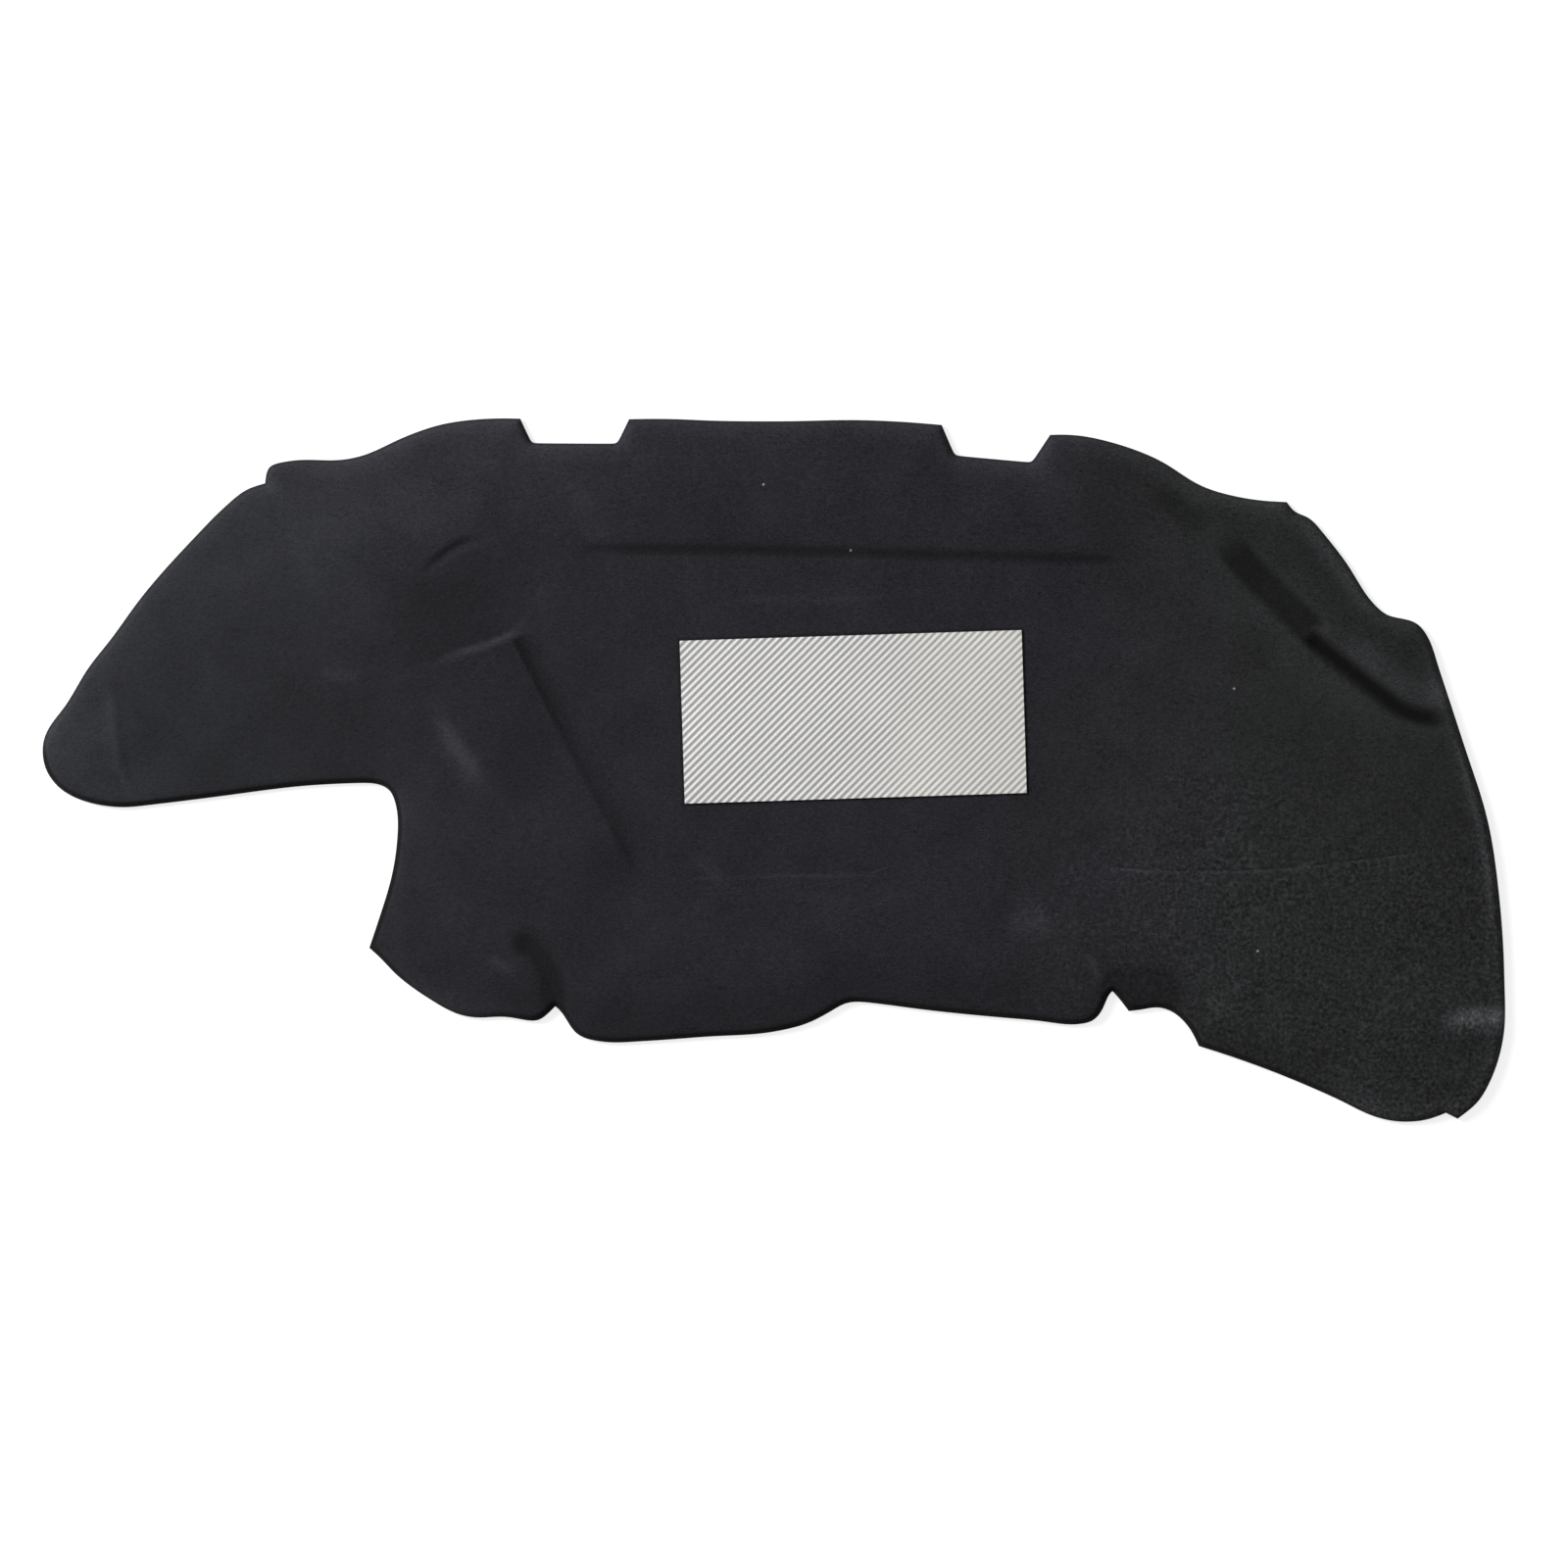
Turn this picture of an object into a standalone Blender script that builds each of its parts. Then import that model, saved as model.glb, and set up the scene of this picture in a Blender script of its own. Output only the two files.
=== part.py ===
"""Insulation pad that lines the underside of a car's hood, with its reflective patch.

The pad is one sheet of hot-moulded felt, cut to its outline. It lies with the finished side up: +Z
is up, +X runs along the pad and +Y points to its straight front edge. The ribbed patch lies on the
flat panel in the pad's middle.
"""

import math
from collections import namedtuple

import bmesh
import bpy
import numpy as np
from mathutils import Matrix, Vector, geometry

# Driving dimensions, in metres.

# The felt: its full thickness, and what is left of it where the mould pinches it.
FELT_THICKNESS = 0.008
PRESSED_THICKNESS = 0.0035

# The zones around the flat panel stand this much above it. They slope down to the cut edge over the
# fall's width, and the edge itself rolls down to the floor.
RAISED_HEIGHT = 0.006
RELIEF_FALL = 0.080
EDGE_ROLL = 0.006

# The two notches of the front edge: the middle of the mouth, the widths at the mouth and at the
# floor, the depth, and the turn that follows the edge.
Notch = namedtuple("Notch", "middle mouth floor depth tilt")
LEFT_NOTCH = Notch((-0.1695, 0.300), 0.093, 0.073, 0.021, math.radians(-0.3))
RIGHT_NOTCH = Notch((0.1905, 0.2906), 0.093, 0.066, 0.025, math.radians(-5.2))
NOTCH_FILLET = 0.006

# The cut outline runs clockwise from the left end of the front edge. Each run is a smooth curve from
# the run before it through its own points, and the outline has a corner where two runs meet.
LEFT_FRONT = [
    (-0.429, 0.261), (-0.407, 0.265), (-0.367, 0.265), (-0.346, 0.270), (-0.321, 0.282),
    (-0.289, 0.294), (-0.249, 0.300),
]
MIDDLE_FRONT = [(-0.088, 0.300), (-0.051, 0.2985), (0.009, 0.298), (0.076, 0.299)]
RIGHT_FRONT = [
    (0.261, 0.286), (0.286, 0.281), (0.330, 0.265), (0.367, 0.242), (0.394, 0.234), (0.439, 0.229),
]
RIGHT_CORNER = [(0.446, 0.219), (0.458, 0.217)]
RIGHT_END = [
    (0.488, 0.180), (0.518, 0.137), (0.526, 0.131), (0.542, 0.129), (0.552, 0.125), (0.560, 0.114),
    (0.568, 0.090), (0.590, 0.023), (0.611, -0.044), (0.621, -0.112), (0.625, -0.179), (0.624, -0.230),
    (0.613, -0.266), (0.600, -0.287), (0.585, -0.298),
]
RIGHT_NICK = [(0.575, -0.293)]
RIGHT_TIP = [
    (0.558, -0.300), (0.538, -0.301), (0.516, -0.297), (0.482, -0.281), (0.420, -0.255), (0.364, -0.236),
]
RIGHT_REAR_NOTCH = [(0.348, -0.211), (0.339, -0.205), (0.328, -0.202), (0.315, -0.205), (0.304, -0.206)]
MIDDLE_REAR = [
    (0.295, -0.194), (0.290, -0.189), (0.286, -0.193), (0.282, -0.205), (0.275, -0.214), (0.266, -0.217),
    (0.225, -0.214), (0.130, -0.205), (0.084, -0.199), (0.064, -0.197), (0.051, -0.2055), (0.033, -0.2155),
    (0.005, -0.223), (-0.058, -0.228), (-0.115, -0.232), (-0.142, -0.233), (-0.161, -0.230),
    (-0.170, -0.224), (-0.181, -0.206), (-0.186, -0.202), (-0.192, -0.208), (-0.200, -0.215),
]
LEFT_REAR = [
    (-0.212, -0.214), (-0.229, -0.210), (-0.248, -0.212), (-0.269, -0.209), (-0.293, -0.196),
    (-0.321, -0.176), (-0.336, -0.160), (-0.345, -0.152),
]
LEFT_CUT_OUT = [
    (-0.335, -0.122), (-0.327, -0.096), (-0.321, -0.059), (-0.321, -0.034), (-0.325, -0.019),
    (-0.333, -0.013), (-0.343, -0.011),
]
LEFT_TIP = [
    (-0.393, -0.013), (-0.484, -0.024), (-0.525, -0.029), (-0.561, -0.032), (-0.594, -0.025),
    (-0.613, -0.013), (-0.623, 0.001), (-0.625, 0.020), (-0.621, 0.033), (-0.605, 0.054), (-0.584, 0.089),
    (-0.567, 0.110), (-0.541, 0.146), (-0.494, 0.199), (-0.465, 0.228), (-0.448, 0.241), (-0.434, 0.245),
]
LEFT_CORNER = [(-0.433, 0.255), (-0.429, 0.261)]

# The flat panel's corners, clockwise from its front left one. The felt around it rises to its full
# height over the surround's width.
PANEL_CORNERS = [
    (-0.159, 0.190), (0.010, 0.1885), (0.310, 0.180), (0.240, -0.088), (-0.110, -0.097),
    (-0.171, 0.016), (-0.226, 0.124),
]
SURROUND_WIDTH = 0.110

# Along three stretches of the panel's border the felt rises at once, by a share of that height. A rise
# starts inset from the border and has a width. Its curl is 1 where it is steepest at the panel, -1 where
# it is steepest at the top, and 0 where it is even. Each end of a stretch fades out over a width beside
# a line that leaves the border there, towards the point given.
Rise = namedtuple("Rise", "path inset width curl share first_end last_end")
RiseEnd = namedtuple("RiseEnd", "towards fade")
FRONT_RISE = Rise(
    PANEL_CORNERS[:3], 0.006, 0.017, 1, 0.90,
    RiseEnd((-0.230, 0.310), 0.050), RiseEnd((0.330, 0.300), 0.060),
)
REAR_RISE = Rise(
    PANEL_CORNERS[3:5], 0.0, 0.025, 0, 0.35,
    RiseEnd((0.260, -0.200), 0.080), RiseEnd((-0.120, -0.200), 0.080),
)
LEFT_RISE = Rise(
    PANEL_CORNERS[4:], 0.018, 0.021, -1, 0.90,
    RiseEnd((-0.200, -0.160), 0.030), RiseEnd((-0.290, 0.0885), 0.006),
)

# Broad swells of the moulded sheet, each with half widths along X and Y. The shoulder's swell is cut off
# along a line, to the left of which it falls away.
Swell = namedtuple("Swell", "middle half_widths height")
LEFT_WING = Swell((-0.350, 0.130), (0.270, 0.150), 0.008)
RIGHT_BODY = Swell((0.440, -0.050), (0.190, 0.210), 0.004)
REAR_SWELL = Swell((0.130, -0.140), (0.140, 0.070), 0.003)
REAR_BUMP = Swell((0.240, -0.146), (0.055, 0.040), 0.004)
FRONT_SWELL = Swell((0.080, 0.245), (0.330, 0.060), 0.003)
SHOULDER = Swell((-0.245, 0.025), (0.065, 0.075), 0.006)
SHOULDER_LINE = [(-0.290, 0.048), (-0.250, -0.007)]
SHOULDER_FALL = 0.015

# Creases follow a path. Each has a half width, the share of it that is flat, a height that is below
# zero for a groove, and the lengths over which it fades in and out. A fade of zero runs on into the
# cut edge. The pinch is how much of the felt's thickness the mould squeezes out of it.
Crease = namedtuple("Crease", "path half_width flat height fade_in fade_out pinch")
FRONT_GROOVE = Crease(PANEL_CORNERS[:3], 0.006, 0.0, -0.0008, 0.020, 0.030, 0.32)

# The channel beside the right corner: three troughs in a row, with a raised lip along them.
FIRST_TROUGH_PATH = [(0.318, 0.242), (0.348, 0.223), (0.377, 0.202)]
FIRST_TROUGH = Crease(FIRST_TROUGH_PATH, 0.014, 0.3, -0.003, 0.030, 0.015, 0.30)
WIDE_TROUGH_PATH = [(0.383, 0.202), (0.403, 0.177), (0.428, 0.1515), (0.463, 0.118)]
WIDE_TROUGH = Crease(WIDE_TROUGH_PATH, 0.0155, 0.6, -0.005, 0.030, 0.008, 0.70)
DEEP_TROUGH_PATH = [
    (0.453, 0.124), (0.470, 0.1055), (0.495, 0.0837), (0.520, 0.0644), (0.542, 0.0488),
    (0.560, 0.0435), (0.590, 0.043),
]
DEEP_TROUGH = Crease(DEEP_TROUGH_PATH, 0.0095, 0.4, -0.009, 0.015, 0.0, 1.0)
LIP_PATH = FIRST_TROUGH_PATH + WIDE_TROUGH_PATH[1:] + DEEP_TROUGH_PATH[2:]
CHANNEL_LIP = Crease(LIP_PATH, 0.032, 0.3, 0.002, 0.080, 0.0, 0.0)

# Smaller folds and the pinched corners beside the notches of the rear edge.
SHORT_GROOVE_PATH = [(-0.302, 0.165), (-0.283, 0.181), (-0.267, 0.192), (-0.240, 0.195)]
SHORT_GROOVE = Crease(SHORT_GROOVE_PATH, 0.0075, 0.0, -0.0022, 0.025, 0.025, 0.25)
TIP_RIDGE_PATH = [(-0.573, 0.105), (-0.565, 0.064), (-0.562, 0.022), (-0.552, -0.024)]
TIP_RIDGE = Crease(TIP_RIDGE_PATH, 0.012, 0.0, 0.002, 0.040, 0.0, 0.0)
RIGHT_RIDGE_PATH = [(0.560, -0.223), (0.596, -0.220), (0.625, -0.218)]
RIGHT_RIDGE = Crease(RIGHT_RIDGE_PATH, 0.018, 0.0, 0.003, 0.030, 0.0, 0.0)
RIM_BEAD_PATH = [
    (0.580, 0.040), (0.593, -0.013), (0.607, -0.071), (0.612, -0.105), (0.612, -0.142), (0.611, -0.185),
]
RIM_BEAD = Crease(RIM_BEAD_PATH, 0.007, 0.0, 0.0015, 0.030, 0.020, 0.0)
LEFT_PINCH_PATH = [(-0.226, -0.148), (-0.204, -0.153), (-0.190, -0.170), (-0.186, -0.202)]
LEFT_PINCH = Crease(LEFT_PINCH_PATH, 0.014, 0.2, -0.005, 0.025, 0.0, 0.40)
RIGHT_PINCH_PATH = [(0.300, -0.190), (0.318, -0.190), (0.331, -0.192)]
RIGHT_PINCH = Crease(RIGHT_PINCH_PATH, 0.024, 0.6, -0.006, 0.0, 0.0, 0.35)
REAR_FALL_PATH = [(-0.165, -0.230), (-0.060, -0.230), (0.010, -0.224), (0.070, -0.200), (0.270, -0.216)]
REAR_FALL = Crease(REAR_FALL_PATH, 0.050, 0.0, -0.003, 0.020, 0.020, 0.0)

# The patch: its size, its middle and turn on the pad, and its ribs.
PATCH_LENGTH = 0.294
PATCH_WIDTH = 0.139
PATCH_MIDDLE = (0.069, 0.0455)
PATCH_TURN = math.radians(1.8)
PATCH_THICKNESS = 0.0010
RIB_PITCH = 0.0047
RIB_HEIGHT = 0.0010
RIB_DIRECTION = math.radians(45.0)
PATCH_GAP = 0.0003

# How finely the felt is meshed: along the outline, along the creases and in the open.
OUTLINE_STEP = 0.014
CREASE_STEP = 0.016
LATTICE_STEP = 0.028

FELT_COLOUR = (0.021, 0.022, 0.024, 1.0)
FOIL_COLOUR = (0.720, 0.720, 0.700, 1.0)

RISES = [FRONT_RISE, REAR_RISE, LEFT_RISE]
SWELLS = [LEFT_WING, RIGHT_BODY, REAR_SWELL, REAR_BUMP, FRONT_SWELL]
GROOVES = [FRONT_GROOVE, FIRST_TROUGH, WIDE_TROUGH, DEEP_TROUGH, SHORT_GROOVE, LEFT_PINCH, RIGHT_PINCH]
FOLDS = [CHANNEL_LIP, TIP_RIDGE, RIGHT_RIDGE, RIM_BEAD, REAR_FALL]


def smooth_curve(points, step, least=1):
    """Points about a step apart on a smooth curve through the given ones, with at least so many a span."""
    knots = [Vector(point) for point in points]
    spans = [(b - a).length for a, b in zip(knots, knots[1:])]
    slopes = [(b - a) / span for a, b, span in zip(knots, knots[1:], spans)]
    inner = [
        (before * after_span + after * before_span) / (before_span + after_span)
        for before, after, before_span, after_span in zip(slopes, slopes[1:], spans, spans[1:])
    ]
    first = 2 * slopes[0] - inner[0] if inner else slopes[0]
    last = 2 * slopes[-1] - inner[-1] if inner else slopes[-1]
    tangents = [first, *inner, last]
    curve = []
    for i, span in enumerate(spans):
        start_handle = knots[i] + tangents[i] * span / 3
        end_handle = knots[i + 1] - tangents[i + 1] * span / 3
        count = max(least, round(span / step)) + 1
        curve += geometry.interpolate_bezier(knots[i], start_handle, end_handle, knots[i + 1], count)[:-1]
    return curve + [knots[-1]]


def notch_outline(notch):
    """A notch's left mouth corner, its rounded floor and its right mouth corner."""
    turn = Matrix.Rotation(notch.tilt, 2)
    corners = [
        (-notch.mouth / 2, 0.0),
        (-notch.floor / 2, -notch.depth),
        (notch.floor / 2, -notch.depth),
        (notch.mouth / 2, 0.0),
    ]
    corners = [Vector(notch.middle) + turn @ Vector(corner) for corner in corners]
    floor = []
    for before, corner, after in zip(corners, corners[1:], corners[2:]):
        start = corner + (before - corner).normalized() * NOTCH_FILLET
        end = corner + (after - corner).normalized() * NOTCH_FILLET
        floor += geometry.interpolate_bezier(start, corner, corner, end, 4)
    return corners[0], floor, corners[3]


def felt_outline():
    """The cut outline as one closed list of points, clockwise."""
    left_start, left_floor, left_end = notch_outline(LEFT_NOTCH)
    right_start, right_floor, right_end = notch_outline(RIGHT_NOTCH)
    outline = smooth_curve([*LEFT_FRONT, left_start], OUTLINE_STEP)
    outline += left_floor
    outline += smooth_curve([left_end, *MIDDLE_FRONT, right_start], OUTLINE_STEP)
    outline += right_floor
    outline += smooth_curve([right_end, *RIGHT_FRONT], OUTLINE_STEP)
    runs = [
        RIGHT_CORNER, RIGHT_END, RIGHT_NICK, RIGHT_TIP, RIGHT_REAR_NOTCH,
        MIDDLE_REAR, LEFT_REAR, LEFT_CUT_OUT, LEFT_TIP, LEFT_CORNER,
    ]
    for run in runs:
        outline += smooth_curve([outline[-1], *run], OUTLINE_STEP)[1:]
    return np.array([point.to_tuple() for point in outline[:-1]])


def smooth_step(amount):
    """Zero below 0, one above 1, and a smooth rise between."""
    amount = np.clip(amount, 0.0, 1.0)
    return amount * amount * (3 - 2 * amount)


def path_distance(spots, path):
    """How far each spot is from a path, and how far along the path its nearest point is."""
    best = np.full(len(spots), np.inf)
    along = np.zeros(len(spots))
    walked = 0.0
    for start, end in zip(path, path[1:]):
        span = end - start
        length = math.hypot(*span)
        share = np.clip((spots - start) @ span / length**2, 0.0, 1.0)
        away = np.hypot(*(spots - start - share[:, None] * span).T)
        nearer = away < best
        best[nearer] = away[nearer]
        along[nearer] = walked + share[nearer] * length
        walked += length
    return best, along


def is_inside(spots, outline):
    """Whether each spot is inside the closed outline."""
    inside = np.zeros(len(spots), bool)
    for a, b in zip(outline, np.roll(outline, -1, axis=0)):
        spans = (a[1] > spots[:, 1]) != (b[1] > spots[:, 1])
        crossing = a[0] + (spots[:, 1] - a[1]) / np.where(spans, b[1] - a[1], 1.0) * (b[0] - a[0])
        inside ^= spans & (spots[:, 0] < crossing)
    return inside


def smooth_path(path):
    """A crease's path as points along its smooth curve."""
    return np.array([point.to_tuple() for point in smooth_curve(path, CREASE_STEP)])


def surround_share(spots):
    """How much of the raised height each spot gets around the panel: none on it, all past the surround."""
    corners = np.array(PANEL_CORNERS)
    away = path_distance(spots, np.vstack([corners, corners[:1]]))[0]
    away[is_inside(spots, corners)] = 0.0
    return smooth_step(away / SURROUND_WIDTH)


def outward_distance(spots, path):
    """How far each spot is outside a stretch of the panel's border, below zero on the panel's side."""
    away = np.full(len(spots), -np.inf)
    for start, end in zip(path, path[1:]):
        along = np.subtract(end, start)
        outward = np.array((-along[1], along[0])) / math.hypot(*along)
        away = np.maximum(away, (spots - start) @ outward)
    return away


def end_share(spots, corner, inner, end):
    """How much of a rise is left on the inner side of the line that it ends at."""
    along = np.subtract(end.towards, corner)
    across = np.array((-along[1], along[0])) / math.hypot(*along)
    across *= math.copysign(1.0, across @ np.subtract(inner, corner))
    return smooth_step((spots - corner) @ across / end.fade)


def rise_share(spots, rise):
    """How much of the raised height each spot gets from a rise."""
    reach = (outward_distance(spots, rise.path) + rise.inset) / rise.width
    if rise.curl:
        reach = np.clip(reach, 0.0, 1.0)
        share = rise.share * (reach + rise.curl * reach * (1 - reach))
    else:
        share = rise.share * smooth_step(reach)
    share *= end_share(spots, rise.path[0], rise.path[1], rise.first_end)
    return share * end_share(spots, rise.path[-1], rise.path[-2], rise.last_end)


def swell_share(spots, swell):
    """How much of a swell's height each spot gets."""
    reach = np.hypot(*((spots - swell.middle) / swell.half_widths).T)
    return (1 - np.clip(reach, 0.0, 1.0) ** 2) ** 2


def shoulder_share(spots):
    """How much of the shoulder's height each spot gets, to the right of its line."""
    first, last = np.array(SHOULDER_LINE)
    across = np.cross(last - first, spots - first) / math.hypot(*(last - first))
    return swell_share(spots, SHOULDER) * smooth_step(0.5 + across / SHOULDER_FALL)


def crease_strength(spots, crease):
    """How much of a crease's height each spot gets: all on its path, and none at its half width."""
    path = smooth_path(crease.path)
    away, along = path_distance(spots, path)
    strength = 1 - smooth_step((away / crease.half_width - crease.flat) / (1 - crease.flat))
    length = np.hypot(*np.diff(path, axis=0).T).sum()
    if crease.fade_in:
        strength *= smooth_step(along / crease.fade_in)
    if crease.fade_out:
        strength *= smooth_step((length - along) / crease.fade_out)
    return strength


def felt_heights(spots, outline):
    """The heights of the felt's upper and lower surface at each spot."""
    level = 1 - surround_share(spots)
    for rise in RISES:
        level *= 1 - rise_share(spots, rise)
    raised = 1 - level
    top = RAISED_HEIGHT * raised
    for swell in SWELLS:
        top += raised * swell.height * swell_share(spots, swell)
    top += raised * SHOULDER.height * shoulder_share(spots)
    for fold in FOLDS:
        top += fold.height * crease_strength(spots, fold)
    pinch = np.zeros(len(spots))
    for groove in GROOVES:
        strength = crease_strength(spots, groove)
        top += groove.height * strength
        pinch = np.maximum(pinch, groove.pinch * strength)
    from_edge = path_distance(spots, np.vstack([outline, outline[:1]]))[0]
    edge = np.sin(np.clip(from_edge / EDGE_ROLL, 0.0, 1.0) * math.pi / 2)
    fall = 1 - (1 - np.clip(from_edge / RELIEF_FALL, 0.0, 1.0)) ** 2
    top = PRESSED_THICKNESS + np.maximum(top * fall + FELT_THICKNESS - PRESSED_THICKNESS, 0.0) * edge
    thickness = PRESSED_THICKNESS + (FELT_THICKNESS - PRESSED_THICKNESS) * edge * (1 - pinch)
    return top, np.maximum(top - thickness, 0.0)


def beside(path, offset, step):
    """Points about a step apart along a path, moved sideways by the offset."""
    spans = np.hypot(*np.diff(path, axis=0).T)
    walked = np.concatenate([[0.0], np.cumsum(spans)])
    places = np.linspace(0.0, walked[-1], max(2, round(walked[-1] / step) + 1))
    middle = np.stack([np.interp(places, walked, path[:, axis]) for axis in (0, 1)], axis=1)
    ahead = np.gradient(middle, axis=0)
    ahead /= np.hypot(*ahead.T)[:, None]
    return middle + offset * np.stack([ahead[:, 1], -ahead[:, 0]], axis=1)


def felt_spots(outline):
    """The outline's points, then points inside it: along its rolled edge, along creases and in the open."""
    closed = np.vstack([outline, outline[:1]])
    candidates = []
    for share in (0.45, 1.0):
        ring = beside(closed, share * EDGE_ROLL, OUTLINE_STEP)
        candidates.append((ring, 0.85 * share * EDGE_ROLL, 0.4 * OUTLINE_STEP))
    for crease in GROOVES + FOLDS:
        half_rows = (-0.5, 0.5) if crease.half_width > 0.5 * CREASE_STEP else ()
        for share in (0.0, *half_rows, -1.0, 1.0):
            row = beside(smooth_path(crease.path), share * crease.half_width, CREASE_STEP)
            candidates.append((row, 0.3 * EDGE_ROLL, 0.25 * CREASE_STEP))
    for rise in RISES:
        for share in (0.0, 0.5, 1.0):
            row = beside(np.array(rise.path), rise.inset - share * rise.width, CREASE_STEP)
            candidates.append((row, 1.2 * EDGE_ROLL, 0.3 * CREASE_STEP))
    for side in (-0.5, 0.5):
        row = beside(np.array(SHOULDER_LINE), side * SHOULDER_FALL, CREASE_STEP)
        candidates.append((row, EDGE_ROLL, 0.3 * CREASE_STEP))
    corners = np.array(PANEL_CORNERS)
    border = beside(np.vstack([corners, corners[:1]]), 0.0, CREASE_STEP)
    candidates.append((border, EDGE_ROLL, 0.6 * CREASE_STEP))
    low, high = outline.min(axis=0), outline.max(axis=0)
    row_step = LATTICE_STEP * math.sqrt(0.75)
    for row in range(math.ceil((high[1] - low[1]) / row_step)):
        x = np.arange(low[0] + (row % 2) * LATTICE_STEP / 2, high[0], LATTICE_STEP)
        y = np.full(len(x), low[1] + row * row_step)
        candidates.append((np.stack([x, y], axis=1), EDGE_ROLL + 0.4 * LATTICE_STEP, 0.6 * LATTICE_STEP))
    spots = list(outline)
    for points, from_edge, from_others in candidates:
        points = points[is_inside(points, outline)]
        points = points[path_distance(points, closed)[0] > from_edge]
        for point in points:
            if np.hypot(*(np.array(spots) - point).T).min() > from_others:
                spots.append(point)
    return np.array(spots)


def make_material(name, colour, roughness, metallic):
    """A Principled material of one colour."""
    material = bpy.data.materials.new(name)
    material.use_nodes = True
    shader = material.node_tree.nodes["Principled BSDF"]
    shader.inputs["Base Color"].default_value = colour
    shader.inputs["Roughness"].default_value = roughness
    shader.inputs["Metallic"].default_value = metallic
    material.diffuse_color = colour
    return material


def finish_object(name, bm, material, collection):
    """Makes the named object from a bmesh whose body is closed."""
    bmesh.ops.recalc_face_normals(bm, faces=bm.faces)
    mesh = bpy.data.meshes.new(name)
    bm.to_mesh(mesh)
    bm.free()
    mesh.materials.append(material)
    obj = bpy.data.objects.new(name, mesh)
    collection.objects.link(obj)
    return obj


def thicken(bm):
    """Extrudes the open sheet into a closed body and returns the vertices of the new side."""
    result = bmesh.ops.extrude_face_region(bm, geom=bm.faces[:])
    return {item for item in result["geom"] if isinstance(item, bmesh.types.BMVert)}


def make_felt_pad(collection):
    """The moulded felt sheet: one body with a relief, rolled edges and a flat panel in its middle."""
    outline = felt_outline()
    outline -= (outline.min(axis=0) + outline.max(axis=0)) / 2
    spots = felt_spots(outline)
    count = len(outline)
    border = [(i, (i + 1) % count) for i in range(count)]
    flat = [Vector(spot) for spot in spots]
    sheet = geometry.delaunay_2d_cdt(flat, border, [], 1, 1e-7)
    bm = bmesh.new()
    verts = [bm.verts.new((*spot, 0.0)) for spot in sheet[0]]
    for face in sheet[2]:
        bm.faces.new([verts[i] for i in face])
    lower = thicken(bm)
    bm.verts.ensure_lookup_table()
    places = np.array([vert.co.to_tuple()[:2] for vert in bm.verts])
    top, bottom = felt_heights(places, outline)
    for i, vert in enumerate(bm.verts):
        vert.co.z = bottom[i] if vert in lower else top[i]
    felt = make_material("felt_black", FELT_COLOUR, 0.95, 0.0)
    return finish_object("felt_pad", bm, felt, collection)


def make_heat_patch(collection):
    """The reflective patch: parallel ribs cut to a rectangle, flat underneath, on the felt's flat panel."""
    across = RIB_DIRECTION - PATCH_TURN
    reach = (PATCH_LENGTH + PATCH_WIDTH) / 2
    half_count = math.ceil(reach / RIB_PITCH)
    bm = bmesh.new()
    rows = []
    for i in range(-2 * half_count, 2 * half_count + 1):
        height = RIB_HEIGHT * (i % 2)
        row = [bm.verts.new((side * reach, i * RIB_PITCH / 2, height)) for side in (-1, 1)]
        rows.append(row)
    for (a, b), (c, d) in zip(rows, rows[1:]):
        bm.faces.new((a, b, d, c))
    bmesh.ops.rotate(bm, verts=bm.verts, cent=(0, 0, 0), matrix=Matrix.Rotation(across, 3, "Z"))
    ends = [(outward, PATCH_LENGTH) for outward in ((1, 0, 0), (-1, 0, 0))]
    sides = [(outward, PATCH_WIDTH) for outward in ((0, 1, 0), (0, -1, 0))]
    for outward, size in ends + sides:
        whole = bm.verts[:] + bm.edges[:] + bm.faces[:]
        place = Vector(outward) * size / 2
        bmesh.ops.bisect_plane(bm, geom=whole, plane_co=place, plane_no=outward, clear_outer=True)
    lower = thicken(bm)
    for vert in bm.verts:
        vert.co.z = 0.0 if vert in lower else PATCH_THICKNESS + vert.co.z
    foil = make_material("foil_ribbed", FOIL_COLOUR, 0.35, 0.9)
    patch = finish_object("heat_patch", bm, foil, collection)
    patch.location = (*PATCH_MIDDLE, FELT_THICKNESS + PATCH_GAP)
    patch.rotation_euler.z = PATCH_TURN
    return patch


for old in list(bpy.data.objects):
    bpy.data.objects.remove(old, do_unlink=True)
pad_parts = bpy.data.collections.new("hood_insulation_pad")
bpy.context.scene.collection.children.link(pad_parts)
make_felt_pad(pad_parts)
make_heat_patch(pad_parts)
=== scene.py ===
"""Looks of an insulation pad for the underside of a car's hood: moulded black felt with a foil patch."""

import math

import bmesh
import bpy
import numpy as np
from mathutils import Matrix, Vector, geometry, noise


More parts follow.
